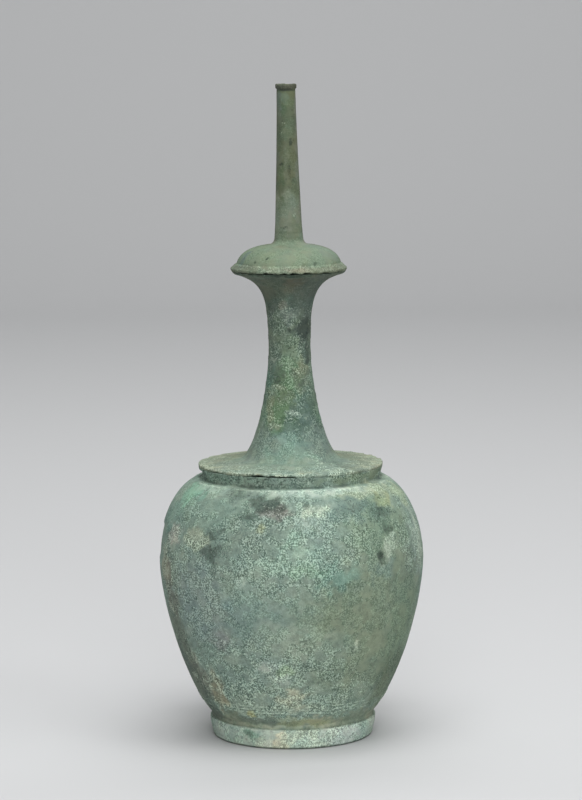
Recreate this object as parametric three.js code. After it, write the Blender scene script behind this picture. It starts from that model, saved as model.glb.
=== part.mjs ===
// A ritual water vessel of bronze: an egg-shaped body on a low foot ring, a shoulder plate with a tall
// waisted neck, and a domed top that carries a slender upright spout tube, open at its mouth.
// Every piece is turned about the upright axis and hollow, so water has one way from body to mouth.
// Millimetres, +Z up, origin on the ground at the centre of the foot ring.
import * as THREE from "three";
import { mergeVertices } from "three/addons/utils/BufferGeometryUtils.js";

// Foot ring
const footHeight = 11;
const footLedge = 0.9;
const footTaper = 1.7;
const footStandWidth = 3.1;
const footEdgeRound = 1.3;

// Body
const bodyWall = 2;
const floorThickness = 2.4;
const baseRadius = 45;
const baseBandHeight = 2.2;
const bellyRadius = 73;
const baseToBelly = 88.2;
const bellyToCollar = 43;
const collarFootRadius = 49.9;
const collarRimRadius = 50.8;
const collarHeight = 5.8;
const collarThickness = 3.2;

// Shoulder plate and neck
const plateOverhang = 0.2;
const plateEdge = 1.3;
const plateRise = 2.4;
const flareFootRadius = 28.2;
const neckWall = 1.6;
const waistRadius = 11.55;
const plateToWaist = 62.3;
const waistToFlange = 39.7;
const flangeRadius = 31.4;
const flangeThroat = 1.7;
const flangeEdge = 0.9;
const flangeBevel = 0.7;

// Domed top and spout tube
const jointBandWidth = 4.4;
const lipRadius = 32;
const lipEdge = 0.9;
const lipSlope = 3.2;
const domeFootRadius = 28.6;
const domeHeight = 9.9;
const domeCrownRadius = 11.1;
const domeWall = 1.6;
const rootRadius = 7.95;
const rootHeight = 3;
const rootTaper = 8.5;
const tubeFootRadius = 7.3;
const tubeLength = 73.1;
const tubeTopRadius = 5.2;
const tubeWall = 1.35;
const mouthRadius = 5.8;
const mouthHeight = 3;
const mouthRound = 0.7;
const spoutLeanDegrees = 0.6;
const leanPivotHeight = 7.1;

// Joints and roundness
const jointGap = 0.3;
const segments = 40;

// How full each curve is: the shares of its width and height that it leaves with, and arrives with
const groundEdgeCurve = { leave: [0.6, 0], arrive: [0, 0.6] };
const footFaceCurve = { leave: [0.5, 0.3], arrive: [0, 0.3] };
const lowerBodyCurve = { leave: [0.43, 0.142], arrive: [0, 0.354] };
const upperBodyCurve = { leave: [0, 0.367], arrive: [0.68, 0.1] };
const plateCurve = { leave: [0.35, 0.08], arrive: [0.3, 0.25] };
const flareCurve = { leave: [0.53, 0.03], arrive: [0, 0.37] };
const trumpetCurve = { leave: [0, 0.69], arrive: [0.85, 0.11] };
const domeCurve = { leave: [0.08, 0.51], arrive: [0.62, 0.11] };
const rootCurve = { leave: [0.7, 0.1], arrive: [0.1, 0.4] };
const tubeCurve = { leave: [0.55, 0.4], arrive: [0, 0.24] };

// Heights, each stacked on the one below
const baseZ = footHeight + jointGap;
const floorZ = baseZ + floorThickness;
const bandTopZ = baseZ + baseBandHeight;
const bellyZ = bandTopZ + baseToBelly;
const collarFootZ = bellyZ + bellyToCollar;
const collarTopZ = collarFootZ + collarHeight;
const plateSeatZ = collarTopZ + jointGap;
const plateRimZ = plateSeatZ + plateEdge;
const flareFootZ = plateRimZ + plateRise;
const waistZ = flareFootZ + plateToWaist;
const flangeUnderZ = waistZ + waistToFlange;
const flangeTopZ = flangeUnderZ + flangeBevel + flangeEdge;
const domeSeatZ = flangeTopZ + jointGap;
const domeFootZ = domeSeatZ + lipEdge + lipSlope;
const domeCrownZ = domeFootZ + domeHeight;
const rootZ = domeCrownZ + rootHeight;
const tubeFootZ = rootZ + rootTaper;
const tubeTopZ = tubeFootZ + tubeLength;
const mouthZ = tubeTopZ + mouthHeight;
const leanPivotZ = tubeFootZ + leanPivotHeight;

// Radii that two pieces share
const footTopRadius = baseRadius + footLedge;
const footGroundRadius = footTopRadius - footTaper;
const throatRadius = collarRimRadius - collarThickness;
const plateRadius = collarRimRadius + plateOverhang;
const jointInnerRadius = flangeRadius - jointBandWidth;

const at = (radius, z) => new THREE.Vector2(radius, z);

// Points on a curve from one place to another, as full as the given shares make it.
function swell(from, to, curve, steps) {
  const span = to.clone().sub(from);
  const first = from.clone().add(at(curve.leave[0] * span.x, curve.leave[1] * span.y));
  const last = to.clone().sub(at(curve.arrive[0] * span.x, curve.arrive[1] * span.y));
  return new THREE.CubicBezierCurve(from, first, last, to).getPoints(steps);
}

// The inner face of a wall: the outer line moved towards the hollow, square to itself.
function innerFace(outer, wall) {
  return outer.map((point, i) => {
    const before = outer[Math.max(i - 1, 0)];
    const after = outer[Math.min(i + 1, outer.length - 1)];
    const along = after.clone().sub(before).normalize();
    return at(point.x - wall * along.y, point.y + wall * along.x);
  });
}

// Every second point, because a hidden face needs fewer of them.
const everySecond = (points) => points.filter((point, i) => i % 2 === 1);

// A closed solid turned about +Z from an outline that runs up outside and down inside.
function turned(outline) {
  const lathe = new THREE.LatheGeometry([...outline, outline[0]], segments);
  lathe.deleteAttribute("normal");
  lathe.deleteAttribute("uv");
  const solid = mergeVertices(lathe.rotateX(Math.PI / 2), 1e-4);
  const corners = solid.index.array;
  const kept = [];
  for (let i = 0; i < corners.length; i += 3) {
    const [a, b, c] = corners.slice(i, i + 3);
    if (a !== b && b !== c && c !== a) kept.push(a, b, c);
  }
  solid.setIndex(kept);
  return solid;
}

// A band a little proud of the body's base, with an upright inner side and a rounded lower edge.
function footRing() {
  const inner = footGroundRadius - footStandWidth;
  const ground = at(footGroundRadius - footEdgeRound, 0);
  const faceFoot = at(footGroundRadius, footEdgeRound);
  const faceTop = at(footTopRadius, footHeight - footEdgeRound);
  const edge = swell(ground, faceFoot, groundEdgeCurve, 2);
  const face = swell(faceFoot, faceTop, footFaceCurve, 3);
  const crown = at(footTopRadius - footEdgeRound / 2, footHeight);
  return turned([...edge, ...face.slice(1), crown, at(inner, footHeight), at(inner, 0)]);
}

// A hollow egg with a flat floor, and a short upright collar around its wide mouth.
function body() {
  const belly = at(bellyRadius, bellyZ);
  const lower = swell(at(baseRadius, bandTopZ), belly, lowerBodyCurve, 10);
  const upper = swell(belly, at(collarFootRadius, collarFootZ), upperBodyCurve, 9);
  const side = [...lower, ...upper.slice(1)];
  const hollow = everySecond(innerFace(side, bodyWall)).filter((point) => point.y > floorZ + bodyWall);
  return turned([
    at(0, baseZ),
    at(baseRadius, baseZ),
    ...side,
    at(collarRimRadius, collarTopZ),
    at(throatRadius, collarTopZ),
    at(throatRadius, collarFootZ - bodyWall / 2),
    ...hollow.reverse(),
    at(baseRadius - bodyWall, floorZ),
    at(0, floorZ),
  ]);
}

// A hollow neck in one piece with the plate that closes the body's mouth and the flange on top.
function neck() {
  const flareFoot = at(flareFootRadius, flareFootZ);
  const waist = at(waistRadius, waistZ);
  const throat = at(flangeRadius - flangeThroat, flangeUnderZ);
  const plate = swell(at(plateRadius, plateRimZ), flareFoot, plateCurve, 4);
  const flare = swell(flareFoot, waist, flareCurve, 9);
  const trumpet = swell(waist, throat, trumpetCurve, 9);
  const shaft = [...flare, ...trumpet.slice(1)];
  const plateUnder = innerFace(plate, plateEdge).slice(1);
  const passage = everySecond(innerFace(shaft, neckWall)).filter(
    (point) => point.x < jointInnerRadius && point.y > plateSeatZ,
  );
  return turned([
    at(plateRadius, plateSeatZ),
    ...plate.slice(0, -1),
    ...shaft,
    at(flangeRadius, flangeUnderZ + flangeBevel),
    at(flangeRadius, flangeTopZ),
    at(jointInnerRadius, flangeTopZ),
    ...passage.reverse(),
    ...plateUnder.reverse(),
  ]);
}

// The domed top: a lip on the neck's flange, the dome, the spout tube and its rolled mouth.
function domedTop() {
  const domeFoot = at(domeFootRadius, domeFootZ);
  const crown = at(domeCrownRadius, domeCrownZ);
  const dome = swell(domeFoot, crown, domeCurve, 7);
  const root = swell(crown, at(rootRadius, rootZ), rootCurve, 3);
  const tube = swell(at(tubeFootRadius, tubeFootZ), at(tubeTopRadius, tubeTopZ), tubeCurve, 4);
  const skin = [...dome.slice(1), ...root.slice(1)];
  const hollow = everySecond(innerFace(skin, domeWall)).filter((point) => point.x < jointInnerRadius);
  const bore = innerFace(tube, tubeWall);
  const boreMouth = tubeTopRadius - tubeWall;
  const solid = turned([
    at(lipRadius - lipEdge / 4, domeSeatZ),
    at(lipRadius, domeSeatZ + lipEdge),
    domeFoot,
    ...skin,
    ...tube,
    at(mouthRadius, tubeTopZ + mouthRound),
    at(mouthRadius, mouthZ - mouthRound),
    at(mouthRadius - mouthRound, mouthZ),
    at(boreMouth + mouthRound / 2, mouthZ),
    at(boreMouth, mouthZ - mouthRound),
    ...bore.reverse(),
    ...hollow.reverse(),
    at(jointInnerRadius, domeFootZ),
    at(jointInnerRadius, domeSeatZ),
  ]);
  return leanSpout(solid);
}

// The spout stands a little off upright: it leans about a point above its root, and the dome takes up the shift.
function leanSpout(solid) {
  const slope = Math.tan(THREE.MathUtils.degToRad(spoutLeanDegrees));
  const place = solid.getAttribute("position");
  for (let i = 0; i < place.count; i++) {
    const z = place.getZ(i);
    const share = THREE.MathUtils.clamp((z - domeFootZ) / (rootZ - domeFootZ), 0, 1);
    place.setX(i, place.getX(i) - slope * share * (z - leanPivotZ));
  }
  return solid;
}

function bronzePiece(name, solid, colour) {
  const patina = new THREE.MeshStandardMaterial({ color: colour, roughness: 0.9, metalness: 0.1 });
  const mesh = new THREE.Mesh(solid, patina);
  mesh.name = name;
  return mesh;
}

const vessel = new THREE.Group();
vessel.add(
  bronzePiece("foot_ring", footRing(), 0x9ab3a2),
  bronzePiece("body", body(), 0x7d9a88),
  bronzePiece("neck_and_shoulder_plate", neck(), 0x6f8b78),
  bronzePiece("dome_and_spout_tube", domedTop(), 0x77907a),
);

export default vessel;
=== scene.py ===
import math

import bmesh
import bpy
import numpy as np
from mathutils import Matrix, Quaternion, Vector, noise


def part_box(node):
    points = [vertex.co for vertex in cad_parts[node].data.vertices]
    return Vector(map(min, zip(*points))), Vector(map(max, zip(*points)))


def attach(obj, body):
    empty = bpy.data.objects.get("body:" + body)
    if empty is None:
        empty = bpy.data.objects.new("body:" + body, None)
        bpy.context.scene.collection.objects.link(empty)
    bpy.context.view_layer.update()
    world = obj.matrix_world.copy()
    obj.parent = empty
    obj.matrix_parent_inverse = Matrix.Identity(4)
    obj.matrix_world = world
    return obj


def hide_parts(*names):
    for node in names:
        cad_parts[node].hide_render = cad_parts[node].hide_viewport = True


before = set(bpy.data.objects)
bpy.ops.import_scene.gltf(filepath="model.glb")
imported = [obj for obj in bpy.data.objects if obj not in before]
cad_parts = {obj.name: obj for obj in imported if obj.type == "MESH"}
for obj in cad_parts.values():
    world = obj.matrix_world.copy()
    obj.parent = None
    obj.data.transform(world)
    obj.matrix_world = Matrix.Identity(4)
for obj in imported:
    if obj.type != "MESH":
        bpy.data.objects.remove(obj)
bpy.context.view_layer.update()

# Foot ring
# The low band the vessel stands on, cast in bronze and soldered under the body, a little proud of it.
# Its face is the palest of the vessel: mint and cream over teal, rubbed thin at its lower edge, darkened
# there by painted shade.

MM = 0.001
foot_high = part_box("foot_ring")[1]
foot_top_radius = foot_high.x
foot_taper = 1.7 * MM
foot_stand_width = 3.1 * MM
foot_edge_round = 1.3 * MM
foot_bead_height = 2.6 * MM
solder_rise = 0.28 * MM
touching = 1e-7


def at(radius, height):
    """A place on an outline."""
    return np.array([radius, height])


def swell(start, end, leave, arrive, steps=48):
    """Points on a curve between two places; leave and arrive are shares of its width and height."""
    span = end - start
    handles = [start, start + np.array(leave) * span, end - np.array(arrive) * span, end]
    t = np.linspace(0, 1, steps)[:, None]
    weights = [(1 - t) ** 3, 3 * t * (1 - t) ** 2, 3 * t**2 * (1 - t), t**3]
    return sum(weight * handle for weight, handle in zip(weights, handles))


def spread(stretches, spacing, fine_zones=()):
    """One line through all the stretches, its points evenly spaced but closer inside the fine zones.

    A fine zone is (lowest height, highest height, how many times closer).
    """
    line = np.vstack(stretches)
    line = line[np.append(True, np.hypot(*np.diff(line, axis=0).T) > touching)]
    weight = np.ones(len(line) - 1)
    middle = (line[1:, 1] + line[:-1, 1]) / 2
    for low, high, factor in fine_zones:
        weight[(middle > low) & (middle < high)] = factor
    along = np.append(0, np.cumsum(weight * np.hypot(*np.diff(line, axis=0).T)))
    places = np.linspace(0, along[-1], max(2, round(along[-1] / spacing) + 1))
    return np.column_stack([np.interp(places, along, line[:, k]) for k in range(2)])


def tone(code):
    """A colour as it looks, such as 0x94a89a, in the linear values that shaders take."""
    parts = [(code >> shift & 255) / 255 for shift in (16, 8, 0)]
    return [p / 12.92 if p <= 0.04045 else ((p + 0.055) / 1.055) ** 2.4 for p in parts] + [1]


def smooth(value, low, high):
    """From 0 at low to 1 at high with a soft start and end; low may be above high."""
    t = np.clip((value - low) / (high - low), 0, 1)
    return t * t * (3 - 2 * t)


class Skin:
    """Every point of a turned surface before relief: azimuth 0 faces the viewer, and 90 is to the right."""

    cloud_shift = np.array([17.3, -9.1, 5.7])
    crumb_shift = np.array([3.1, 7.7, -4.9])
    cloud_softness, cloud_growth = 0.8, 2.0
    longest_sway, longest_fray = 6, 2.4
    sway_share, fray_share = 0.8, 0.5
    patch_edge = (1.35, 0.65)

    def __init__(self, outline, around):
        self.rows, self.around = len(outline), around
        tangent = np.gradient(outline, axis=0)
        tangent /= np.linalg.norm(tangent, axis=1)[:, None]
        self.azimuth = np.tile(np.linspace(-math.pi, math.pi, around, endpoint=False), self.rows)
        self.radius = np.repeat(outline[:, 0], around)
        self.height = np.repeat(outline[:, 1], around)
        self.out = np.repeat(tangent[:, 1], around)
        self.up = np.repeat(-tangent[:, 0], around)
        self.points = self.places(self.radius, self.height)
        # Slow and quick wander for the edges of patches, sideways and upright
        self.sway = [self.cloud(8 * MM, 2, seed=seed) for seed in (31, 32)]
        self.fray = [self.cloud(2.8 * MM, 2, seed=seed) for seed in (33, 34)]

    def places(self, radius, height):
        return np.column_stack([radius * np.sin(self.azimuth), -radius * np.cos(self.azimuth), height])

    def cloud(self, size, octaves=3, seed=0, tall=1):
        """Soft noise from about -1 to 1, in features of a size; tall over 1 draws them out upright."""
        spots = self.points / (size * np.array([1, 1, tall])) + self.cloud_shift * seed
        settings = (self.cloud_softness, self.cloud_growth, octaves)
        return np.array([noise.fractal(spot, *settings) for spot in spots.tolist()])

    def crumbs(self, size, seed=0):
        """For each point, how far it is from the nearest of many scattered seeds, in sizes."""
        spots = self.points / size + self.crumb_shift * seed
        return np.array([noise.voronoi(spot)[0][0] for spot in spots.tolist()])

    def ring(self, height, half_width):
        """A soft band round the piece, strongest at its own height."""
        return np.exp(-(((self.height - height) / half_width) ** 2))

    def spot(self, *marks):
        """How strongly ragged patches cover each point.

        A patch is (azimuth in degrees, height, half width, half height, strength), its sizes in millimetres.
        """
        cover = np.zeros(len(self.radius))
        for azimuth, height, wide, tall, strength in marks:
            turn = np.angle(np.exp(1j * (self.azimuth - math.radians(azimuth))))
            offsets = (turn * self.radius / MM, self.height / MM - height)
            reach = 0
            for offset, half, sway, fray in zip(offsets, (wide, tall), self.sway, self.fray):
                wander = min(self.longest_sway, self.sway_share * half) * sway
                wander += min(self.longest_fray, self.fray_share * half) * fray
                reach = reach + ((offset + wander) / half) ** 2
            cover = np.maximum(cover, strength * smooth(np.sqrt(reach), *self.patch_edge))
        return cover

    def tinted(self, ground, *patches):
        """The patina's broad colour: patches, each (tone, then as for spot), laid over a ground tone."""
        colour = np.tile(tone(ground), (len(self.radius), 1))
        for code, *mark in patches:
            cover = self.spot(mark)[:, None]
            colour = colour * (1 - cover) + cover * np.array(tone(code))
        return colour


def turned(name, skin, relief, tint, stains, reshape=None):
    """A closed piece: relief moves the points of its skin outwards, and they keep its tint and stains."""
    radius = np.maximum(skin.radius + relief * skin.out, 0)
    points = skin.places(radius, skin.height + relief * skin.up)
    if reshape is not None:
        points = reshape(points)
    first = np.arange(skin.rows)[:, None] * skin.around
    turn = np.arange(skin.around)[None, :]
    after = (turn + 1) % skin.around
    upper = np.roll(first, -1, axis=0)
    quads = np.stack([first + turn, first + after, upper + after, upper + turn], axis=-1)
    on_axis = skin.radius[0] < touching
    quads = (quads[:-1] if on_axis else quads).reshape(-1, 4)
    mesh = bpy.data.meshes.new(name)
    mesh.from_pydata(points, [], quads)
    layer = mesh.attributes.new("tint", "FLOAT_COLOR", "POINT")
    layer.data.foreach_set("color", tint.astype(np.float32).ravel())
    for stain, cover in stains.items():
        layer = mesh.attributes.new(stain, "FLOAT", "POINT")
        layer.data.foreach_set("value", cover.astype(np.float32))
    mesh.polygons.foreach_set("use_smooth", np.ones(len(quads), bool))
    piece = bpy.data.objects.new(name, mesh)
    bpy.context.scene.collection.objects.link(piece)
    if on_axis:
        close_poles(mesh)
    return piece


def close_poles(mesh):
    """Merges the ring of points that lie together on the axis."""
    work = bmesh.new()
    work.from_mesh(mesh)
    on_axis = [v for v in work.verts if math.hypot(v.co.x, v.co.y) < touching]
    bmesh.ops.remove_doubles(work, verts=on_axis, dist=touching)
    work.to_mesh(mesh)
    work.free()


class Patina:
    """One weathered bronze surface, laid down in procedural layers."""

    def __init__(self, name):
        self.material = bpy.data.materials.new(name)
        self.material.use_nodes = True
        self.tree = self.material.node_tree
        self.tree.nodes.clear()
        self.place = self.node("ShaderNodeTexCoord").outputs["Object"]

    def node(self, kind, inputs=None, **settings):
        made = self.tree.nodes.new(kind)
        for key, value in settings.items():
            setattr(made, key, value)
        for socket, value in (inputs or {}).items():
            if isinstance(value, bpy.types.NodeSocket):
                self.tree.links.new(value, made.inputs[socket])
            else:
                made.inputs[socket].default_value = value
        return made

    def moved(self, seed):
        """Places on the piece, shifted by a seed so that no two noises are alike."""
        inputs = {"Vector": self.place, "Location": (seed, 0.37 * seed, -0.73 * seed)}
        return self.node("ShaderNodeMapping", inputs).outputs[0]

    def cloud(self, size, detail, rough, seed):
        inputs = {"Vector": self.moved(seed), "Scale": 1 / size, "Detail": detail, "Roughness": rough}
        return self.node("ShaderNodeTexNoise", inputs).outputs[0]

    def times(self, a, b):
        return self.node("ShaderNodeMath", {0: a, 1: b}, operation="MULTIPLY").outputs[0]

    def plus(self, a, b):
        return self.node("ShaderNodeMath", {0: a, 1: b}, operation="ADD").outputs[0]

    def blend(self, *shares):
        """A weighted sum of noises, each given as (noise, weight)."""
        total = None
        for value, weight in shares:
            part = self.times(value, weight)
            total = part if total is None else self.plus(total, part)
        return total

    def step(self, value, low, high, least=0.0, most=1.0):
        """From least at low to most at high with a soft start and end; low may be above high."""
        inputs = {"Value": value, "From Min": low, "From Max": high, "To Min": least, "To Max": most}
        return self.node("ShaderNodeMapRange", inputs, interpolation_type="SMOOTHSTEP").outputs[0]

    def cells(self, size, wander, seed):
        """A random value from 0 to 1 in each of many flakes with ragged edges."""
        frayed = self.node("ShaderNodeTexNoise", {"Vector": self.place, "Scale": 1.6 / size, "Detail": 3.0})
        inputs = {0: frayed.outputs[1], "Scale": wander}
        shift = self.node("ShaderNodeVectorMath", inputs, operation="SCALE").outputs[0]
        inputs = {0: self.moved(seed), 1: shift}
        spot = self.node("ShaderNodeVectorMath", inputs, operation="ADD").outputs[0]
        flakes = self.node("ShaderNodeTexVoronoi", {"Vector": spot, "Scale": 1 / size})
        return self.node("ShaderNodeSeparateColor", {"Color": flakes.outputs["Color"]}).outputs[0]

    def paint(self, under, over, cover):
        """One colour over another, where cover says."""
        inputs = {0: cover, 6: under, 7: over}
        return self.node("ShaderNodeMix", inputs, data_type="RGBA").outputs[2]

    def shade(self, under, factor):
        """Multiplies a colour by a number."""
        return self.node("ShaderNodeVectorMath", {0: under, "Scale": factor}, operation="SCALE").outputs[0]

    def filter(self, under, colour):
        """Multiplies a colour by another."""
        return self.node("ShaderNodeVectorMath", {0: under, 1: colour}, operation="MULTIPLY").outputs[0]

    def lay(self, under, cover, strength, factor, code, share):
        """Lays a shade of the colour itself, drawn by a share towards a set tone, where cover says."""
        over = self.paint(self.shade(under, factor), tone(code), share)
        return self.paint(under, over, self.times(cover, strength))

    def stain(self, name):
        """One of the stains kept on the piece's points."""
        return self.node("ShaderNodeAttribute", attribute_name=name).outputs["Fac"]


def bronze_patina(name, relief=1.0, flaking=1.0):
    """The green that all the pieces share: the skin's broad tones under flakes, smudges and grain, with
    painted shade in some gaps.
    """
    p = Patina(name)
    broad = p.cloud(24 * MM, 3, 0.6, seed=0.11)
    middle = p.cloud(6.5 * MM, 4, 0.6, seed=0.23)
    small = p.cloud(2.3 * MM, 3, 0.65, seed=0.31)
    fine = p.cloud(0.78 * MM, 1, 0.6, seed=0.47)
    flecks = p.cloud(1.4 * MM, 2, 0.6, seed=0.59)
    flakes = p.cells(5 * MM, 6 * MM, seed=0.71)
    chips = p.cells(2.1 * MM, 3 * MM, seed=0.37)

    # Cooler and warmer green, some calm flakes without grain, and uneven light and dark
    calm = p.step(flakes, 0.64, 0.68)
    tint = p.node("ShaderNodeAttribute", attribute_name="tint").outputs["Color"]
    warmth = p.step(p.blend((broad, 0.6), (middle, 0.4)), 0.38, 0.62)
    colour = p.paint(p.filter(tint, (0.96, 1.005, 1.03)), p.filter(tint, (1.04, 0.995, 0.96)), warmth)
    colour = p.paint(colour, p.filter(colour, (1.07, 1.0, 1.03)), calm)
    uneven = p.blend((flakes, 0.22), (chips, 0.28), (middle, 0.25), (small, 0.25))
    colour = p.shade(colour, p.step(uneven, 0.3, 0.7, 1 - 0.15 * flaking, 1 + 0.15 * flaking))
    clouding = p.blend((broad, 0.45), (middle, 0.55))
    colour = p.shade(colour, p.step(clouding, 0.38, 0.62, 1 - 0.1 * flaking, 1 + 0.1 * flaking))

    # Dark smudges, some standing for painted shade in a gap, and pale crusts, broken up at their edges
    ragged = p.step(p.blend((small, 0.4), (fine, 0.45), (middle, 0.15)), 0.3, 0.7, -0.5, 0.5)
    smudge_and_shade = p.step(p.plus(p.stain("dark"), ragged), 0.25, 0.75)
    colour = p.lay(colour, smudge_and_shade, strength=0.85, factor=0.3, code=0x33423A, share=0.4)
    crust = p.step(p.plus(p.stain("crust"), ragged), 0.35, 0.75)
    colour = p.lay(colour, crust, strength=0.8, factor=1.45, code=0xB9C6B2, share=0.3)

    # Powdery grain, pale with darker gaps, weaker on calm flakes and smudges
    quiet = p.blend((calm, 0.6), (smudge_and_shade, 0.4))
    rough = p.times(p.stain("grain"), p.step(quiet, 0, 0.6, 1.08, 0.25))
    powder = p.blend((fine, 0.8), (small, 0.2))
    pale = p.times(p.step(powder, 0.5, 0.575), rough)
    colour = p.lay(colour, pale, strength=0.95, factor=1.72, code=0xC8CFC6, share=0.28)
    gaps = p.times(p.step(powder, 0.49, 0.4), rough)
    colour = p.lay(colour, gaps, strength=0.68, factor=0.48, code=0x4F5D54, share=0.35)

    # Dark specks, and dirt in the crevices, whose dark tone also paints shade in gaps, under edges and at
    # the floor
    specks = p.step(p.blend((flecks, 0.75), (middle, 0.25)), 0.435, 0.39)
    pepper = p.times(specks, p.stain("pepper"))
    colour = p.paint(colour, p.shade(colour, 0.28), p.times(pepper, 0.8))
    colour = p.paint(colour, tone(0x26332B), p.times(p.stain("crevice_dirt_and_shade"), 0.85))

    rise = p.blend(
        (small, 0.7), (fine, 0.5), (flakes, 0.1), (pale, 0.16), (crust, 0.3), (smudge_and_shade, -0.2), (pepper, -0.3)
    )
    bump = p.node("ShaderNodeBump", {"Height": rise, "Distance": 0.4 * MM * relief, "Strength": 0.9})
    surface = {"Base Color": colour, "Roughness": 0.84, "IOR": 1.45, "Specular IOR Level": 0.3}
    shader = p.node("ShaderNodeBsdfPrincipled", surface | {"Normal": bump.outputs[0]})
    output = p.node("ShaderNodeOutputMaterial")
    p.tree.links.new(shader.outputs[0], output.inputs[0])
    return p.material


def finish_piece(piece, node, patina):
    """The same patina all over, riding on the vessel's one body and standing for its solid."""
    piece.data.materials.append(patina)
    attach(piece, "root")
    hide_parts(node)


foot_ground_radius = foot_top_radius - foot_taper
foot_inner = foot_ground_radius - foot_stand_width
foot_shoulder = at(foot_top_radius, foot_high.z - 0.5 * foot_edge_round)
foot_face_start = at(foot_ground_radius, foot_edge_round)
foot_outline = spread(
    [
        [at(foot_inner, 0)],
        swell(at(foot_ground_radius - foot_edge_round, 0), foot_face_start, (0.6, 0), (0, 0.6)),
        swell(foot_face_start, foot_shoulder, (0.5, 0.3), (0, 0.3)),
        swell(foot_shoulder, at(foot_top_radius - 0.5 * foot_edge_round, foot_high.z), (0, 0.6), (0.6, 0)),
        swell(
            at(foot_top_radius - 0.7 * MM, foot_high.z),
            at(foot_top_radius - 1.1 * MM, foot_high.z + solder_rise),
            (0.6, 0),
            (0, 0.6),
        ),
        [at(foot_inner, foot_high.z + solder_rise), at(foot_inner, 0)],
    ],
    spacing=0.42 * MM,
)[:-1]
foot_skin = Skin(foot_outline, around=560)
foot_outside = smooth(foot_skin.radius, foot_inner + 0.5 * MM, foot_inner + 1.5 * MM)
foot_outside *= smooth(foot_skin.height, 0, 0.5 * MM)
foot_face = smooth(foot_skin.out, 0.3, 0.8)
foot_bead = foot_skin.ring(foot_bead_height, 0.5 * MM) * foot_face
foot_wear = foot_skin.cloud(9 * MM, 4, seed=1)
foot_pits = smooth(foot_skin.crumbs(3.2 * MM, seed=1), 0.35, 0.1)
foot_pits *= smooth(foot_skin.cloud(14 * MM, 2, seed=2), 0, 0.3)
foot_relief = 0.08 * foot_wear - 0.14 * foot_pits - 0.2 * foot_bead * smooth(foot_wear, -0.4, 0.3)
foot_relief = np.minimum(MM * foot_relief * foot_outside, foot_top_radius - foot_skin.radius)
foot_tint = foot_skin.tinted(
    0xB4C6B4,
    (0x96AC9C, 180, 6, 100, 30, 0.9),
    (0xA4BCAD, -40, 5, 16, 7, 0.85),
    (0xA8BBAC, -64, 6, 10, 7, 0.8),
    (0x78A08D, -31, 7, 4, 2.2, 0.7),
    (0xC2D0BC, -22, 3, 5, 3, 0.7),
    (0xCDCFB2, -9, 4, 5, 4, 0.8),
    (0xC6D2BA, 5, 7, 9, 4, 0.6),
    (0xB4CDBE, 18, 5, 8, 4, 0.5),
    (0xBCCCC1, 38, 6, 14, 5, 0.7),
    (0x98B3A6, 62, 7, 6, 5, 0.7),
    (0xAEBDB0, 78, 6, 8, 5, 0.6),
    (0xA6B8A2, 130, 5, 22, 5, 0.6),
    (0x95A88F, -120, 5, 20, 5, 0.6),
)
foot_stains = {
    "grain": 0.6 + foot_skin.spot((38, 6, 26, 12, 0.4), (-60, 6, 10, 12, 0.3), (180, 6, 90, 12, 0.3)),
    "pepper": foot_skin.spot(
        (30, 6, 20, 6, 0.55),
        (-3, 5, 10, 5, 0.35),
        (-32, 6, 10, 5, 0.5),
        (-120, 6, 40, 6, 0.4),
    ),
    "crust": foot_skin.spot(
        (-7, 5, 5, 4, 0.5),
        (6, 6, 8, 4, 0.4),
        (-20, 3, 4, 3, 0.5),
        (150, 6, 20, 5, 0.5),
    ),
    "dark": foot_skin.spot((-33, 7, 3, 2, 0.45), (-24, 5, 2.5, 2, 0.35), (120, 5, 4, 2, 0.5)),
    # Dirt in the pits, and painted contact shade along the ring's lower edge where it meets the floor
    "crevice_dirt_and_shade": np.maximum(foot_pits * 0.5, 0.85 * smooth(foot_skin.height, 1.5 * MM, 0.6 * MM)),
}
foot_ring = turned("foot_ring_bronze", foot_skin, foot_relief, foot_tint, foot_stains)
finish_piece(foot_ring, "foot_ring", bronze_patina("foot_patina"))

# Body
# The egg-shaped hollow of cast bronze that holds the water, with a short upright collar round its mouth.
# Long burial left it crusted: speckled mint with dark smudges at the shoulder, smoother grey green below.

body_low, body_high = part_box("body")
body_wall = 2 * MM
floor_thickness = 2.4 * MM
foot_ledge = 0.9 * MM
base_radius = foot_top_radius - foot_ledge
base_band = 2.2 * MM
base_to_belly = 88.2 * MM
belly_to_collar = 43 * MM
belly_radius = body_high.x
collar_foot_radius = 49.9 * MM
collar_rim_radius = 50.8 * MM
collar_thickness = 3.2 * MM
collar_round = 0.2 * MM
lower_curve = ((0.43, 0.142), (0, 0.354))
upper_curve = ((0, 0.367), (0.68, 0.1))
turning_lines = (21.4 * MM, 23.4 * MM, 25.2 * MM)
line_width = 0.45 * MM
ridge_headroom = 0.35 * MM

floor_z = body_low.z + floor_thickness
belly_z = body_low.z + base_band + base_to_belly
belly = at(belly_radius, belly_z)
collar_foot = at(collar_foot_radius, belly_z + belly_to_collar)
collar_rim = at(collar_rim_radius, body_high.z)
lower_side = swell(at(base_radius, body_low.z + base_band), belly, *lower_curve, steps=90)
upper_side = swell(belly, collar_foot, *upper_curve, steps=60)
collar_edge = [
    collar_rim - at(0, collar_round),
    collar_rim - at(0.3 * collar_round, 0.3 * collar_round),
    collar_rim - at(collar_round, 0),
]
body_outside = spread(
    [[at(base_radius, body_low.z)], lower_side, upper_side, collar_edge],
    spacing=1.22 * MM,
    fine_zones=[(body_low.z, 27 * MM, 2.8), (142.5 * MM, body_high.z, 3)],
)
throat = collar_rim_radius - collar_thickness
hollow_belly = at(belly_radius - body_wall, belly_z)
hollow_lower = swell(at(base_radius - 0.6 * body_wall, floor_z), hollow_belly, *lower_curve)
hollow_upper = swell(hollow_belly, at(throat, collar_foot[1] - body_wall / 2), *upper_curve)
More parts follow.
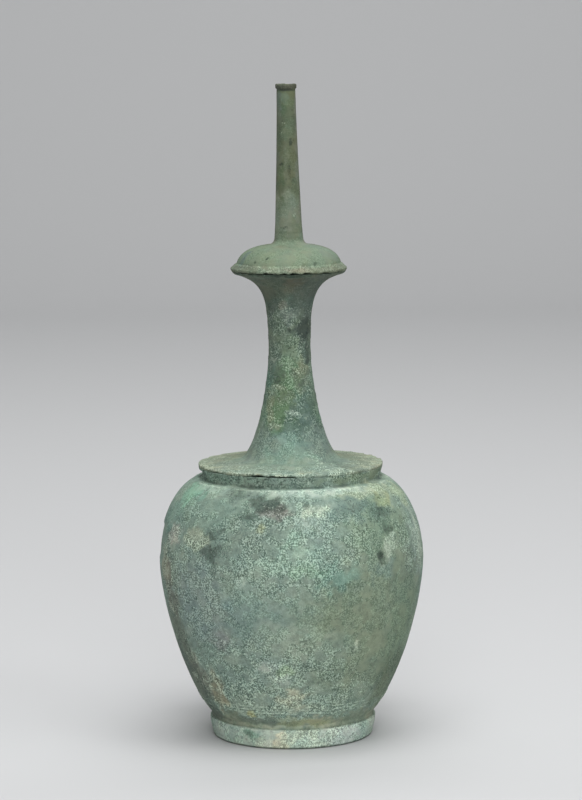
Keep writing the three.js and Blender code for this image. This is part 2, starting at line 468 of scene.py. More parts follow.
body_inside = spread([[at(throat, collar_rim[1])], hollow_upper[::-1], hollow_lower[::-1]], spacing=7 * MM)
body_under = spread([[at(0, body_low.z), at(base_radius, body_low.z)]], spacing=6 * MM)[:-1]
body_floor = spread([[at(base_radius - body_wall, floor_z), at(0, floor_z)]], spacing=8 * MM)
body_skin = Skin(np.vstack([body_under, body_outside, body_inside, body_floor[1:]]), around=420)
body_seen = np.zeros(body_skin.rows)
body_seen[len(body_under) : len(body_under) + len(body_outside)] = 1
body_seen = np.repeat(body_seen, body_skin.around)

body_bend = body_skin.cloud(40 * MM, 2, seed=3)
body_knobs = body_skin.cloud(5 * MM, 4, seed=4)
body_streaks = body_skin.cloud(2.6 * MM, 3, seed=6, tall=3)
body_ripples = body_skin.cloud(3 * MM, 3, seed=7, tall=0.35)
body_fading = smooth(body_skin.cloud(13 * MM, 3, seed=8), -0.5, 0.1)
upright_ridges = smooth(body_streaks, 0.05, 0.35) * body_skin.spot(
    (-47, 31, 9, 13, 1.0),
    (-58, 40, 9, 18, 0.8),
    (-68, 92, 8, 22, 0.8),
    (-30, 60, 12, 12, 0.4),
    (120, 60, 16, 22, 0.6),
)
level_ridges = smooth(body_ripples, 0.0, 0.3) * body_skin.spot(
    (-27, 33, 12, 8, 1.0),
    (0, 22, 40, 4, 0.7),
    (35, 34, 16, 8, 0.5),
    (-9, 49, 9, 5, 0.8),
    (-150, 30, 30, 8, 0.7),
)
body_hollows = smooth(body_skin.crumbs(5.5 * MM, seed=3), 0.24, 0.08)
body_hollows *= smooth(body_skin.cloud(20 * MM, 2, seed=5), 0.1, 0.4)
body_lines = sum(body_skin.ring(z, line_width) for z in turning_lines) * body_fading
shoulder_ridge = body_skin.ring(collar_foot[1] - 1.3 * MM, line_width) * body_fading
collar_groove = body_skin.ring(collar_foot[1], 0.4 * MM)
on_collar = smooth(body_skin.height, collar_foot[1] + 0.2 * MM, collar_foot[1] + 0.9 * MM) * body_seen
collar_left = smooth(body_skin.azimuth, 0.6, -0.3) * smooth(body_skin.azimuth, -2.6, -2.0)
collar_pits = smooth(body_skin.crumbs(2.2 * MM, seed=8), 0.4, 0.12) * on_collar * (0.35 + 0.65 * collar_left)
body_dents = body_skin.spot(
    (85, 132, 26, 18, 0.5),
    (90, 110, 16, 8, 0.35),
    (-88, 110, 22, 11, 0.8),
    (41, 108.5, 2, 3.5, 0.5),
)
collar_notch = body_skin.spot((-88, 146.6, 15, 2.4, 1.5))
body_relief = MM * (
    0.18 * body_bend
    + 0.06 * body_knobs
    + 0.65 * upright_ridges
    + 0.55 * level_ridges
    - 0.2 * body_hollows
    + 0.34 * body_lines
    + 0.3 * shoulder_ridge
    - 0.32 * collar_groove
    - 0.3 * collar_pits
    - body_dents
    - collar_notch
)
body_relief = np.minimum(body_relief, belly_radius - body_skin.radius + ridge_headroom) * body_seen
body_tint = body_skin.tinted(
    0x788E80,
    (0x6F806A, 42, 72, 44, 42, 0.85),
    (0x667D68, 62, 64, 14, 26, 0.7),
    (0x758983, -44, 84, 20, 22, 0.7),
    (0x788F85, -19, 76, 16, 14, 0.5),
    (0x6E8A84, -29, 84, 5, 5, 0.6),
    (0x828C84, -34, 62, 8, 7, 0.4),
    (0x829F8E, 0, 111, 20, 9, 0.7),
    (0x6C9080, 20, 100, 14, 7, 0.7),
    (0x74987E, 8, 103, 8, 5, 0.45),
    (0x739685, -3, 120, 9, 6, 0.5),
    (0x889D92, 8, 128, 8, 5, 0.75),
    (0x6C8575, -40, 128, 30, 12, 0.6),
    (0x6A8169, 44, 124, 26, 14, 0.65),
    (0x6F877A, -20, 122, 22, 6, 0.6),
    (0x687C70, -15, 122, 18, 13, 0.7),
    (0x889C8B, 5, 60, 26, 12, 0.5),
    (0x849B8C, -24, 92, 14, 8, 0.5),
    (0x869B8A, 10, 34, 32, 8, 0.45),
    (0x719C86, -64, 138, 9, 6, 0.8),
    (0x66867A, -73, 126, 12, 8, 0.7),
    (0x92988C, -65, 116, 8, 6, 0.75),
    (0x95A28A, -47, 117, 9, 5, 0.75),
    (0x8A917C, -72, 99, 6, 10, 0.7),
    (0x686E60, -67, 86, 7, 18, 0.75),
    (0x878B86, -35, 62, 5, 4, 0.5),
    (0x9FB6A8, -22, 97, 3, 3, 0.7),
    (0x62776C, -31, 142, 11, 3.5, 0.75),
    (0x60786A, -20, 131, 7, 3, 0.7),
    (0x6E716A, -8, 133, 6.5, 3, 0.85),
    (0x8E9A7A, -14, 125, 3, 2.2, 0.8),
    (0x9CAD98, 11, 134, 7, 3, 0.6),
    (0x667F75, 29, 134, 11, 6, 0.7),
    (0x5C7264, 48, 131, 9, 4, 0.75),
    (0x84936F, 55, 136.5, 7, 3.2, 0.8),
    (0x8A9B80, 76, 137, 12, 5, 0.8),
    (0x869A8C, 74, 112, 9, 16, 0.7),
    (0x6D857A, 43, 101, 8, 6, 0.7),
    (0x86998B, 48, 111, 5, 7, 0.6),
    (0xABB8A2, 31, 61, 1.4, 3.8, 0.8),
    (0x9CAC9F, -11, 50, 6, 2.4, 0.8),
    (0x9FB0A0, -7, 44, 5, 3.5, 0.7),
    (0x86A07C, -3, 48, 4, 3, 0.6),
    (0x6A806E, 20, 40, 9, 7, 0.55),
    (0xA4AC94, 0, 31, 6, 6, 0.85),
    (0x7E8068, -46, 31, 6.5, 10, 0.8),
    (0x74796A, -60, 38, 8, 14, 0.7),
    (0x8C9468, -26, 21, 3.4, 1.9, 0.85),
    (0x808C78, 0, 14, 160, 4.5, 0.85),
    (0xA5B29A, 0, 14.5, 24, 4, 0.8),
    (0x6D7D70, -22, 16, 13, 2.4, 0.85),
    (0x8C9372, 8, 15, 16, 2.4, 0.8),
    (0x8F9F85, 46, 141.5, 22, 3.2, 0.75),
    (0xA4B7A8, 14, 143.0, 26, 1.9, 0.8),
    # Painted shade: the lower left and right of the belly are darkened, as the light falls off towards the
    # sides
    (0x586559, -70, 42, 14, 34, 0.8),
    (0x5D6D59, 69, 36, 18, 15, 0.85),
    (0x93A28C, 4, 25, 15, 3, 0.5),
    (0x3E4B40, 42, 108, 1.8, 2.6, 0.85),
    (0x8EA695, -48, 142.5, 18, 2.4, 0.65),
    (0x6C8069, 62, 148.8, 40, 3.0, 0.9),
    (0x74907E, -55, 148.8, 34, 3.0, 0.8),
    (0x6C9A86, 118, 118, 20, 14, 0.6),
    (0x76856E, 150, 92, 28, 22, 0.7),
    (0x8D9988, -112, 112, 20, 16, 0.6),
    (0x6B8484, -148, 74, 26, 24, 0.6),
    (0x93AE98, 178, 132, 18, 8, 0.6),
    (0x767F62, 128, 44, 20, 16, 0.6),
    (0x6E7363, -118, 44, 18, 18, 0.6),
)
body_grainy = body_skin.spot(
    (0, 114, 46, 26, 0.95),
    (-50, 96, 34, 40, 0.95),
    (-10, 40, 48, 26, 1.0),
    (70, 118, 22, 22, 0.9),
    (180, 90, 90, 60, 0.8),
)
body_bare = body_skin.spot((8, 128, 8, 5, 0.4), (0, 14, 80, 5, 0.5))
body_stains = {
    "grain": np.clip(0.42 + 0.6 * body_grainy + on_collar - body_bare, 0.2, 1),
    "pepper": np.maximum(
        body_skin.spot(
            (-20, 137, 22, 9, 0.5),
            (42, 130, 18, 12, 0.7),
            (62, 112, 14, 16, 0.5),
            (-38, 117, 12, 9, 0.8),
            (20, 40, 12, 9, 0.5),
            (-20, 105, 26, 14, 0.35),
            (150, 120, 30, 16, 0.6),
            (-130, 100, 26, 20, 0.5),
        ),
        on_collar * (0.3 + 0.6 * collar_left),
    ),
    "crust": np.maximum(
        body_skin.spot(
            (8, 134, 9, 4, 0.5),
            (46, 141, 20, 3, 0.45),
            (48, 111, 5, 7, 0.5),
            (75, 112, 7, 14, 0.5),
            (-65, 116, 8, 5, 0.45),
            (-47, 117, 8, 4, 0.45),
            (0, 31, 6, 5, 0.4),
            (-9, 136, 5, 2, 0.35),
            (-120, 128, 20, 8, 0.5),
            (165, 96, 16, 20, 0.45),
        ),
        np.clip(upright_ridges + level_ridges + body_lines + 0.8 * shoulder_ridge, 0, 1),
    ),
    "dark": np.maximum(
        body_skin.spot(
            (30, 135, 10, 4, 0.35),
            (-44, 121, 8, 3, 0.35),
            (-32, 110, 11, 7, 0.35),
            (-26, 96, 8, 6, 0.25),
            (-14, 137, 15, 6, 0.2),
            (-14, 150, 22, 0.8, 0.35),
        )
        + body_skin.spot(
            (-9, 137.5, 7, 3.4, 0.75),
            (-17, 139, 5, 2.4, 0.45),
            (-20, 131, 4.5, 1.8, 0.55),
            (-32, 142, 9, 2.4, 0.4),
            (8, 137, 2.6, 1.5, 0.6),
            (-37, 122, 5.5, 3, 0.6),
            (-37, 113, 7, 5, 0.4),
            (48, 131, 5, 2.6, 0.5),
            (49, 122, 3, 5, 0.55),
            (41, 108.5, 1.8, 3.4, 0.9),
            (150, 124, 9, 5, 0.7),
            (-125, 96, 7, 9, 0.6),
            (105, 70, 7, 7, 0.5),
        ),
        on_collar * (0.1 + 0.2 * collar_left),
    ),
    "crevice_dirt_and_shade": np.clip(0.4 * body_hollows + 0.75 * collar_pits + 0.55 * collar_groove * body_fading, 0, 1),
}
body = turned("body_bronze", body_skin, body_relief, body_tint, body_stains)
finish_piece(body, "body", bronze_patina("body_patina"))

# Neck and shoulder plate
# A flat bronze plate closes the body's mouth and rises into a tall waisted neck with a flange, cast as one.
# The plate's edge is thin, lifted and chipped; the neck is darker than the body, by patina and painted
# shade.

neck_low, neck_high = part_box("neck_and_shoulder_plate")
plate_radius = neck_high.x
plate_edge = 1.3 * MM
plate_rise = 2.4 * MM
plate_round = 0.45 * MM
seam_sag = 0.28 * MM
rim_margin = 0.02 * MM
neck_wall = 1.6 * MM
flare_foot_radius = 28.2 * MM
waist_radius = 11.55 * MM
plate_to_waist = 62.3 * MM
flange_radius = 31.4 * MM
flange_inset = 1.7 * MM
flange_edge = 0.9 * MM
flange_bevel = 0.7 * MM
joint_band_width = 4.4 * MM

joint_inner = flange_radius - joint_band_width
plate_rim = at(plate_radius, neck_low.z + plate_edge)
flare_foot = at(flare_foot_radius, plate_rim[1] + plate_rise)
waist = at(waist_radius, flare_foot[1] + plate_to_waist)
flange_throat = at(flange_radius - flange_inset, neck_high.z - flange_edge - flange_bevel)
plate_top = swell(plate_rim, flare_foot, (0.35, 0.08), (0.3, 0.25))
plate_top = plate_top[plate_top[:, 0] < plate_radius - plate_round]
rim_face = [
    at(plate_radius - 0.3 * plate_round, neck_low.z),
    at(plate_radius, neck_low.z + 0.3 * plate_round),
    plate_rim - at(0, 0.8 * plate_round),
    plate_rim - at(0.3 * plate_round, 0.2 * plate_round),
]
flare = swell(flare_foot, waist, (0.53, 0.03), (0, 0.37), steps=80)
trumpet = swell(waist, flange_throat, (0, 0.69), (0.85, 0.11), steps=80)
flange_top = at(flange_radius - 0.1 * MM, neck_high.z)
flange = swell(flange_throat + at(0.2 * MM, 0.05 * MM), flange_top, (0.6, 0.2), (0, 0.3), steps=10)
neck_outside = spread([rim_face, plate_top, flare, trumpet, flange], spacing=0.54 * MM)


def inner_face(line, wall):
    """The inner side of a wall: the outer line moved towards the hollow, square to itself."""
    along = np.gradient(line, axis=0)
    along /= np.linalg.norm(along, axis=1)[:, None]
    return line + wall * np.column_stack([-along[:, 1], along[:, 0]])


passage = inner_face(np.vstack([flare, trumpet[1:]]), neck_wall)
passage = passage[(passage[:, 0] < joint_inner) & (passage[:, 1] > neck_low.z)]
plate_under = inner_face(plate_top, plate_edge)[8:]
neck_inside = spread(
    [[at(joint_inner, neck_high.z)], passage[::-1], plate_under[::-1], rim_face[:1]],
    spacing=4 * MM,
)[:-1]
neck_skin = Skin(np.vstack([neck_outside, neck_inside]), around=320)
neck_seen = np.repeat(np.arange(neck_skin.rows) < len(neck_outside), neck_skin.around).astype(float)
on_plate = smooth(neck_skin.radius, 30 * MM, 38 * MM) * (neck_skin.height < flare_foot[1] + 1 * MM)
at_rim = smooth(neck_skin.radius, plate_radius - 2 * MM, plate_radius - 0.3 * MM) * on_plate
rim_wander = neck_skin.cloud(6 * MM, 3, seed=11)
rim_front_left = neck_skin.spot((-13, 151, 15, 30, 1.0), (-55, 151, 6, 30, 0.4))
rim_nicks = smooth(neck_skin.cloud(3.4 * MM, 2, seed=12), 0.1, 0.4) * (0.3 + 0.7 * rim_front_left)
rim_nicks += neck_skin.spot(
    (-112, 152, 4, 9, 1.0),
    (-126, 152, 2.5, 9, 0.9),
    (122, 152, 3, 9, 0.9),
    (104, 152, 2.5, 9, 0.8),
    (88, 152, 2, 9, 0.6),
)
rim_lumps = smooth(neck_skin.cloud(3 * MM, 2, seed=18), -0.1, 0.35)
rim_lumps *= neck_skin.spot((-104, 152, 14, 12, 1.0), (112, 152, 20, 12, 1.0))
neck_knobs = neck_skin.cloud(3.6 * MM, 4, seed=13)
neck_bend = neck_skin.cloud(26 * MM, 2, seed=14)
neck_mid = smooth(neck_skin.height, 163 * MM, 176 * MM) * smooth(neck_skin.height, 243 * MM, 232 * MM)
neck_scabs = smooth(neck_knobs, 0.25, 0.5) * neck_mid
neck_hollows = smooth(neck_skin.crumbs(4.4 * MM, seed=13), 0.26, 0.08)
neck_hollows *= smooth(neck_skin.cloud(15 * MM, 2, seed=15), 0.05, 0.35)
plate_crusts = neck_skin.spot((38, 153.5, 3.5, 6, 1.0), (29, 154, 3, 5, 0.8))
plate_crusts *= smooth(neck_skin.cloud(2.2 * MM, 2, seed=17), 0.0, 0.3)
flange_edge_wear = smooth(neck_skin.cloud(3 * MM, 3, seed=16), 0.0, 0.4)
flange_edge_wear *= smooth(neck_skin.height, flange_throat[1] + 0.4 * MM, flange_throat[1] + flange_bevel)
neck_relief = MM * (
    0.12 * neck_bend * (1 - on_plate)
    + (0.03 + 0.05 * neck_mid) * neck_knobs
    + 0.14 * neck_scabs
    - 0.14 * neck_hollows * (1 - 0.6 * on_plate)
    + 0.55 * plate_crusts
    - 0.25 * flange_edge_wear
)
neck_relief = np.minimum(neck_relief, plate_radius - neck_skin.radius - rim_margin) * neck_seen
# The neck's darker ground is partly its own patina and partly painted shade, the light being weaker high up
neck_tint = neck_skin.tinted(
    0x647867,
    (0x76836E, 180, 151, 300, 4.2, 1.0),
    (0x78846E, -75, 152, 26, 6, 0.7),
    (0x6E7965, 80, 152, 26, 6, 0.7),
    (0x9CA890, 0, 151.5, 400, 1.1, 0.5),
    (0x7A9183, 0, 154, 44, 4, 0.7),
    (0x5A725E, 0, 183, 60, 9, 0.8),
    (0x6E8A7D, 0, 166, 60, 9, 0.85),
    (0x5A7A62, 0, 177, 40, 7, 0.85),
    (0x779487, -6, 168, 12, 5, 0.6),
    (0x6A796F, -60, 164, 12, 12, 0.6),
    (0x6A786E, 60, 166, 12, 12, 0.65),
    (0x4B6055, 22, 181, 12, 15, 0.75),
    (0x6F8878, -58, 186, 4, 8, 0.4),
    (0x536C63, 23, 190, 6, 7, 0.6),
    (0x5A7169, 30, 178, 5, 4, 0.5),
    (0x54704F, -30, 185, 8, 14, 0.7),
    (0x547354, -22, 203, 7, 10, 0.7),
    (0x587A5A, 14, 200, 6, 10, 0.5),
    (0x71876D, -14, 216, 10, 14, 0.6),
    (0x52635A, 52, 222, 6, 14, 0.5),
    (0x445145, -56, 243, 11, 10, 0.85),
    (0x4A574C, 60, 243, 10, 10, 0.75),
    (0x52645A, 58, 229, 10, 8, 0.6),
    (0x5A6A55, -15, 190, 5, 5, 0.5),
    (0x7B836A, -50, 188, 3, 4, 0.5),
    (0x7E846C, -45, 181, 3, 4, 0.5),
    (0x798674, -32, 174.5, 4, 2.5, 0.6),
    (0x83968A, 6, 181, 7, 1.3, 0.6),
    (0x6C7F74, 46, 170, 6, 6, 0.5),
    (0x526853, -34, 200, 6, 5, 0.6),
    (0x50796B, -62, 200, 4, 5, 0.6),
    (0x798672, -32, 195, 4, 1.5, 0.6),
    (0x7A8568, 36, 207, 5, 5, 0.65),
    (0x626E5B, 40, 200, 6, 8, 0.5),
    (0x768475, -44, 210.5, 4, 1.3, 0.6),
    (0x5E6C63, -45, 222, 6, 20, 0.5),
    (0x5D6E58, -14, 226, 8, 12, 0.5),
    (0x73837A, -2, 235, 5, 5, 0.6),
    (0x7B796C, -11, 240, 3.4, 2.4, 0.5),
    (0x6E7F71, -6, 227, 4, 5, 0.4),
    (0x3B4942, 46, 228, 6, 7, 0.9),
    (0x4F5D54, 40, 240, 8, 8, 0.6),
    # Painted shade under the flange: the trumpet's top is darkened all round, over its own browner tone
    (0x505A4C, 0, 252, 300, 8, 0.95),
    (0x5A5849, 6, 252, 6, 6, 0.6),
    (0x4C5850, 36, 250, 10, 8, 0.6),
    (0x5E7665, 180, 186, 30, 26, 0.6),
    (0x566452, 180, 222, 24, 16, 0.6),
    (0x7E8E79, 150, 196, 8, 10, 0.5),
)
neck_stains = {
    "grain": np.clip(
        0.2
        + 0.45 * neck_mid
        + 0.6 * on_plate
        + 0.3 * plate_crusts
        + 0.2 * at_rim
        + neck_skin.spot((0, 166, 60, 9, 0.3)) * (1 - neck_mid),
        0,
        1,
    ),
    "pepper": np.maximum(
        neck_mid * (0.2 + 0.5 * smooth(neck_bend, -0.1, 0.3)),
        neck_skin.spot((46, 153.5, 8, 4, 0.5)),
    ),
    "crust": np.maximum(
        neck_skin.spot(
            (-50, 188, 3, 4, 0.35),
            (-45, 181, 3, 4, 0.4),
            (-32, 174.5, 4, 2, 0.35),
            (6, 181, 7, 1.4, 0.45),
            (-32, 195, 4, 1.6, 0.4),
            (36, 207, 5, 5, 0.3),
            (-44, 210.5, 4, 1.4, 0.4),
            (-2, 235, 5, 6, 0.35),
            (-11, 240, 4, 3, 0.35),
            (-6, 227, 4, 4, 0.3),
            (-14, 151.9, 24, 0.5, 0.6),
        ),
        0.4 * neck_scabs + plate_crusts,
    ),
    "dark": neck_skin.spot(
        (46, 228, 4, 5, 0.4),
        (-34, 202, 5, 4, 0.35),
        (-33, 198, 2.4, 1.6, 0.5),
        (31, 197, 2.4, 1.8, 0.5),
        (58, 214, 2, 6, 0.6),
        (-15, 190, 4, 3, 0.25),
        (-150, 215, 6, 12, 0.5),
        (48, 152.8, 4, 3, 0.4),
        # Painted shade: a dark line along the flange's top, in the gap under the dome's lip, mostly at the
        # front
        (-8, 258, 20, 1.2, 0.75),
        (44, 258, 5, 1, 0.5),
        (-62, 258, 6, 1, 0.4),
    ),
    "crevice_dirt_and_shade": np.clip(0.35 * neck_hollows + 0.4 * flange_edge_wear, 0, 1),
}


def chipped_rim(points):
    """Nicks and lumps the plate's thin rim, and lifts its underside off the collar at the front left."""
    radius = np.hypot(points[:, 0], points[:, 1])
    bite = MM * at_rim * (0.1 + 0.15 * rim_wander + np.clip(rim_nicks, 0, 1))
    points[:, :2] *= (1 - np.clip(bite, 0, 2 * MM) / np.maximum(radius, 1 * MM))[:, None]
    lift = MM * at_rim * rim_front_left * smooth(rim_wander, -0.4, 0.4)
    points[:, 2] += lift * (neck_skin.height < neck_low.z + 0.9 * plate_edge)
    sag = seam_sag * at_rim * (1 - rim_front_left)
    points[:, 2] -= sag * (neck_skin.height < neck_low.z + 0.1 * MM)
    lumps = 0.4 * MM * at_rim * rim_lumps
    points[:, 2] += lumps * (neck_skin.height > neck_low.z + 0.5 * plate_edge)
    return points


neck = turned("neck_and_shoulder_plate_bronze", neck_skin, neck_relief, neck_tint, neck_stains, chipped_rim)
finish_piece(neck, "neck_and_shoulder_plate", bronze_patina("neck_patina", relief=0.9, flaking=0.8))

# Domed top and spout tube
# The top is one bronze casting: a lip that sits on the neck's flange, a low dome and the slender spout tube.
# The tube leans a little, its rolled mouth is worn and chipped, and its dark green over brown bronze is
# partly painted shade.

top_low, top_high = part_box("dome_and_spout_tube")
lip_radius = top_high.x
lip_edge = 0.9 * MM
lip_slope = 3.2 * MM
dome_foot_radius = 28.6 * MM
dome_height = 9.9 * MM
dome_crown_radius = 11.1 * MM
dome_wall = 1.6 * MM
root_radius = 7.95 * MM
root_height = 3 * MM
root_taper = 8.5 * MM
root_ring_z = 279 * MM
tube_foot_radius = 7.3 * MM
tube_length = 73.1 * MM
tube_top_radius = 5.2 * MM
tube_wall = 1.35 * MM
mouth_radius = 5.8 * MM
mouth_round = 0.7 * MM
spout_lean = math.tan(math.radians(0.6))
lean_pivot_height = 7.1 * MM

dome_foot = at(dome_foot_radius, top_low.z + lip_edge + lip_slope)
dome_crown = at(dome_crown_radius, dome_foot[1] + dome_height)
tube_root = at(root_radius, dome_crown[1] + root_height)
tube_foot = at(tube_foot_radius, tube_root[1] + root_taper)
tube_top = at(tube_top_radius, tube_foot[1] + tube_length)
lean_pivot = tube_foot[1] + lean_pivot_height
mouth_z = top_high.z
lip_tip = at(lip_radius, top_low.z + 1.1 * lip_edge)
lip_under = swell(at(lip_radius - 0.8 * MM, top_low.z), lip_tip, (0.6, 0), (0, 0.5), steps=8)
lip_shoulder = at(lip_radius - 0.7 * MM, top_low.z + 2.1 * lip_edge)
lip_over = swell(lip_tip, lip_shoulder, (0, 0.5), (0.5, 0.3), steps=8)
lip_top = swell(lip_shoulder, dome_foot - at(0, 0.25 * MM), (0.35, 0.25), (0.5, 0.05), steps=16)
dome = swell(dome_foot, dome_crown, (0.08, 0.51), (0.62, 0.11), steps=60)
root = swell(dome_crown, tube_root, (0.7, 0.1), (0.1, 0.4), steps=24)
tube = swell(tube_foot, tube_top, (0.55, 0.4), (0, 0.24), steps=60)
mouth_foot = at(mouth_radius, tube_top[1] + 0.9 * MM)
mouth_face = at(mouth_radius, mouth_z - mouth_round)
mouth_crown = at(mouth_radius - mouth_round, mouth_z)
mouth_under = swell(tube_top + at(0, 0.1 * MM), mouth_foot, (0.2, 0.3), (0, 0.4), steps=10)
mouth_over = swell(mouth_face, mouth_crown, (0, 0.6), (0.6, 0), steps=8)
bore_mouth = tube_top_radius - tube_wall
top_outside = spread(
    [lip_under, lip_over, lip_top, dome, root, tube, mouth_under, mouth_over],
    spacing=0.44 * MM,
)
bore = inner_face(tube, tube_wall)
dome_hollow = inner_face(np.vstack([dome, root[1:]]), dome_wall)
dome_hollow = dome_hollow[dome_hollow[:, 0] < joint_inner]
top_inside = spread(
    [
        [at(bore_mouth + 0.5 * mouth_round, mouth_z - 0.1 * MM), at(bore_mouth, mouth_z - mouth_round)],
        bore[::-1],
        dome_hollow[::-1],
        [at(joint_inner, dome_foot[1]), at(joint_inner, top_low.z), lip_under[0]],
    ],
    spacing=3 * MM,
)[:-1]
top_skin = Skin(np.vstack([top_outside, top_inside]), around=300)
top_seen = np.repeat(np.arange(top_skin.rows) < len(top_outside), top_skin.around).astype(float)
on_lip = smooth(top_skin.height, dome_foot[1] + 0.2 * MM, dome_foot[1] - 0.8 * MM) * top_seen
on_tube = smooth(top_skin.height, tube_root[1], tube_foot[1])
top_knobs = top_skin.cloud(4 * MM, 4, seed=21)
top_bend = top_skin.cloud(22 * MM, 2, seed=22)
lip_bites = smooth(top_skin.cloud(2.6 * MM, 3, seed=23), -0.1, 0.4)
lip_front = top_skin.spot((-8, 259, 24, 6, 1.0), (50, 259, 8, 6, 0.7), (-130, 259, 20, 6, 0.7))
top_hollows = smooth(top_skin.crumbs(4 * MM, seed=24), 0.18, 0.05)
top_hollows *= smooth(top_skin.cloud(12 * MM, 2, seed=25), 0.05, 0.3)
dome_pits = top_skin.spot(
    (-27, 266.3, 0.7, 0.7, 1.0),
    (-41, 264.4, 0.7, 0.7, 1.0),
    (30, 263.6, 1.2, 0.8, 0.6),
)
root_ring = top_skin.ring(root_ring_z, 0.5 * MM) * top_seen
under_mouth = top_skin.ring(tube_top[1] - 0.4 * MM, 0.5 * MM) * top_seen
top_relief = MM * (
    0.08 * top_bend * (1 - 0.5 * on_tube)
    + 0.03 * top_knobs
    - 0.12 * top_hollows
    - 0.3 * dome_pits
    - 0.08 * root_ring
    - 0.12 * under_mouth
    + on_lip * (0.1 * top_knobs - 0.22 * smooth(top_skin.cloud(4 * MM, 3, seed=26), 0.0, 0.5))
)
top_relief = np.minimum(top_relief, lip_radius - top_skin.radius - rim_margin) * top_seen
# The tube's dark brownish ground is partly its own thin patina and partly painted shade, the light being
# weaker high up
top_tint = top_skin.tinted(
    0x576249,
    (0x697A63, 0, 267, 400, 8, 1.0),
    (0x6F806D, 20, 268, 20, 8, 0.5),
    (0x6A796B, 66, 269, 6, 6, 0.5),
    (0x72826A, -20, 264, 18, 4, 0.5),
    (0x5F7571, -66, 265.5, 2.6, 3.4, 0.5),
    (0x6C7763, 0, 260.4, 400, 1.7, 0.9),
    (0x5C6F57, -42, 260.4, 7, 1.4, 0.6),
    (0x74715F, 10, 260.4, 7, 1.1, 0.6),
    (0x616957, 60, 260.4, 18, 2, 0.6),
    (0x5E6756, -64, 260.4, 18, 2, 0.6),
    (0x6A7A67, 0, 278, 14, 6, 0.5),
    (0x616E5B, 0, 294, 30, 14, 0.8),
    (0x6A786A, 30, 291, 4, 6, 0.6),
    (0x536549, -33, 308, 3, 7, 0.5),
    (0x535A45, -18, 324, 20, 14, 0.6),
    (0x4D5B4A, -10, 341, 20, 10, 0.5),
    (0x636D5A, -6, 318, 1.6, 20, 0.4),
    (0x4A593F, -30, 304, 1.4, 14, 0.5),
    (0x4D5740, 12, 322, 1.2, 16, 0.45),
    (0x6A7666, -4, 292, 2.4, 12, 0.6),
    (0x465A42, -26, 347, 2.2, 3, 0.6),
    (0x5E705B, 4, 334, 2.6, 6, 0.5),
    (0x5F715E, -14, 354, 2.2, 3, 0.6),
    (0x6A7065, 84, 318, 3, 60, 0.7),
    (0x666C60, -84, 334, 3, 30, 0.6),
    (0x788170, -66, 288, 4, 12, 0.6),
    (0x4C5742, 10, 331, 12, 4, 0.4),
    (0x4C5843, 2, 304, 12, 4, 0.6),
    (0x45533F, -50, 338, 4, 8, 0.5),
    (0x6C7867, -30, 286, 4, 8, 0.5),
    (0x5E6B62, -66, 353, 3, 5, 0.6),
    (0x42443A, 0, 359, 30, 1.6, 0.85),
    (0x586350, 180, 320, 12, 40, 0.6),
)
top_stains = {
    "grain": 0.2 + 0.22 * on_lip - 0.06 * on_tube,
    "pepper": top_skin.spot(
        (50, 343, 3, 4, 0.7),
        (-38, 337, 3, 3, 0.6),
        (-60, 266, 5, 4, 0.5),
        (20, 312, 3, 20, 0.35),
    ),
    "crust": top_skin.spot(
        (-28, 260.6, 8, 1.4, 0.25),
        (0, 262.3, 60, 0.5, 0.3),
        (-31, 333, 1.6, 1.4, 0.5),
        (-20, 339, 1.6, 1.2, 0.4),
        (30, 290, 2, 3, 0.3),
        (150, 261, 30, 1.5, 0.3),
    ),
    "dark": top_skin.spot(
        (22, 329, 1.4, 2, 0.6),
        (-37, 316.5, 1.4, 0.8, 0.6),
        (11, 313.8, 0.9, 4, 0.45),
        (-66, 266, 1.6, 3, 0.4),
        (-20, 282, 2.6, 0.8, 0.4),
        (120, 300, 3, 6, 0.5),
    ),
    # Dirt in hollows and pits; painted shadow under the rolled mouth, strongest at its front; painted shade
    # in the gap under the lip's chipped front edge
    "crevice_dirt_and_shade": np.clip(
        0.5 * top_hollows
        + 0.9 * dome_pits
        + 0.2 * root_ring
        + under_mouth * (0.45 + 0.45 * top_skin.spot((-10, 357, 5, 6, 1.0)))
        + 0.7 * smooth(top_skin.height, top_low.z + 0.8 * MM, top_low.z + 0.2 * MM) * lip_bites * lip_front,
        0,
        1,
    ),
}


def worn_top(points):
    """Chips the lip's lower edge and the mouth, then sets the spout's slight lean."""
    near_edge = smooth(top_skin.height, top_low.z + 1.3 * MM, top_low.z)
    near_edge *= smooth(top_skin.radius, joint_inner + 2 * MM, lip_radius - 1 * MM)
    points[:, 2] += near_edge * (0.75 * MM * lip_bites * lip_front - seam_sag * (1 - lip_front))
    near_mouth = smooth(top_skin.height, mouth_z - 1.2 * MM, mouth_z)
    chip = top_skin.spot((-42, 359.8, 3.2, 2, 0.5), (150, 359.8, 2.2, 2, 0.8))
    chip += 0.25 * smooth(top_skin.cloud(2.5 * MM, 2, seed=27), -0.1, 0.4)
    points[:, 2] -= 0.6 * MM * near_mouth * np.clip(chip, 0, 1)
    share = np.clip((points[:, 2] - dome_foot[1]) / (tube_root[1] - dome_foot[1]), 0, 1)
    points[:, 0] -= spout_lean * share * (points[:, 2] - lean_pivot)
    return points


top = turned("dome_and_spout_tube_bronze", top_skin, top_relief, top_tint, top_stains, worn_top)
finish_piece(top, "dome_and_spout_tube", bronze_patina("top_patina", relief=0.5, flaking=0.4))

# Floor, light and camera
# A pale floor curves up into a lit backdrop, with soft light overhead and in front, and weaker elsewhere.
# The camera stands at the photograph's place, a little above the vessel's top, and tilts by its slight roll.

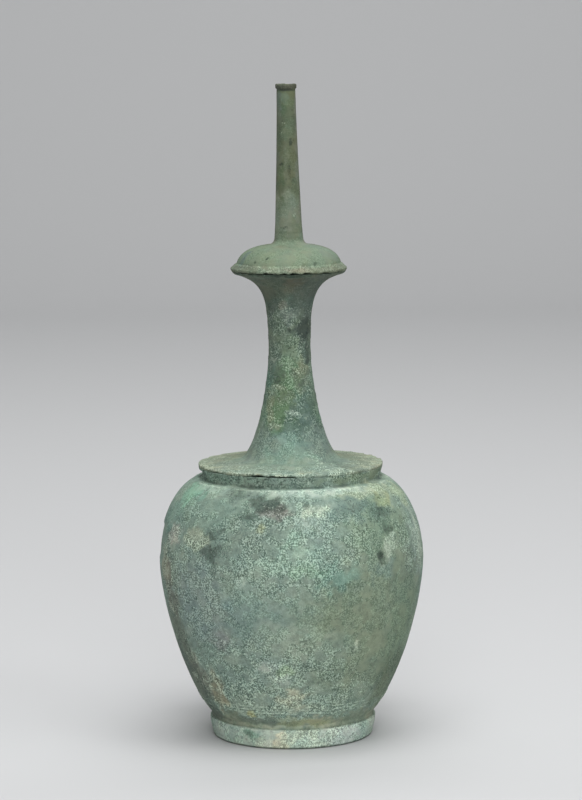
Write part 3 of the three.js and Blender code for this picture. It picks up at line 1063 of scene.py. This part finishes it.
floor_half_width = 4.5
floor_front = -4.0
floor_back = 2.4
sweep_radius = 0.8
backdrop_height = 3.2
sweep = [(floor_front, 0.0), (floor_back, 0.0)]
sweep += [
    (floor_back + sweep_radius * math.sin(a), sweep_radius * (1 - math.cos(a)))
    for a in np.linspace(0, math.pi / 2, 24)[1:]
]
sweep.append((floor_back + sweep_radius, backdrop_height))
corners = [(side * floor_half_width, y, z) for y, z in sweep for side in (-1, 1)]
strips = [(2 * i, 2 * i + 1, 2 * i + 3, 2 * i + 2) for i in range(len(sweep) - 1)]
floor_mesh = bpy.data.meshes.new("pale_floor")
floor_mesh.from_pydata(corners, [], strips)
floor_mesh.polygons.foreach_set("use_smooth", [True] * len(strips))
floor = bpy.data.objects.new("pale_floor", floor_mesh)
bpy.context.scene.collection.objects.link(floor)
paper = bpy.data.materials.new("pale_paper")
paper.use_nodes = True
paper.node_tree.nodes["Principled BSDF"].inputs["Base Color"].default_value = tone(0xC4C5C6)
paper.node_tree.nodes["Principled BSDF"].inputs["Roughness"].default_value = 0.9
floor_mesh.materials.append(paper)


def softbox(name, place, aim, size, power):
    """A broad soft lamp, with its size in metres and its power in watts."""
    light = bpy.data.lights.new(name, "AREA")
    light.shape = "RECTANGLE"
    light.size, light.size_y = size
    light.energy = power
    lamp = bpy.data.objects.new(name, light)
    lamp.location = place
    lamp.rotation_euler = (Vector(aim) - Vector(place)).to_track_quat("-Z", "Y").to_euler()
    bpy.context.scene.collection.objects.link(lamp)


softbox("overhead_light", (0.1, -0.4, 1.5), aim=(0, 0, 0.15), size=(1.3, 1.0), power=20)
softbox("front_light", (0.1, -1.9, 0.8), aim=(0, 0, 0.15), size=(1.0, 1.0), power=18)
softbox("right_light", (1.4, -0.7, 0.7), aim=(0, 0, 0.18), size=(0.7, 1.2), power=3.5)
softbox("back_light", (0.2, 1.0, 1.4), aim=(0, 0, 0.2), size=(1.2, 0.6), power=4)
softbox("left_edge_light", (-1.5, 0.9, 0.6), aim=(0, 0, 0.18), size=(0.6, 1.2), power=2)
softbox("backdrop_light", (0, 1.2, 2.6), aim=(0, 3.0, 0.9), size=(3.0, 0.8), power=45)
world = bpy.data.worlds.new("studio")
world.use_nodes = True
world.node_tree.nodes["Background"].inputs["Color"].default_value = (1, 1, 1, 1)
world.node_tree.nodes["Background"].inputs["Strength"].default_value = 0.12
bpy.context.scene.world = world
bpy.context.scene.view_settings.view_transform = "Standard"

camera_place = Vector((0.00055, -1.75, 0.405))
camera_aim = Vector((0.00055, 0, 0.1864))
camera_roll = math.radians(-0.52)
camera_data = bpy.data.cameras.new("camera")
camera_data.lens = 144
camera_data.sensor_width = 36
camera_data.clip_start = 0.1
camera = bpy.data.objects.new("camera", camera_data)
camera.location = camera_place
facing = (camera_aim - camera_place).to_track_quat("-Z", "Y")
camera.rotation_mode = "QUATERNION"
camera.rotation_quaternion = facing @ Quaternion((0, 0, 1), camera_roll)
bpy.context.scene.collection.objects.link(camera)
bpy.context.scene.camera = camera
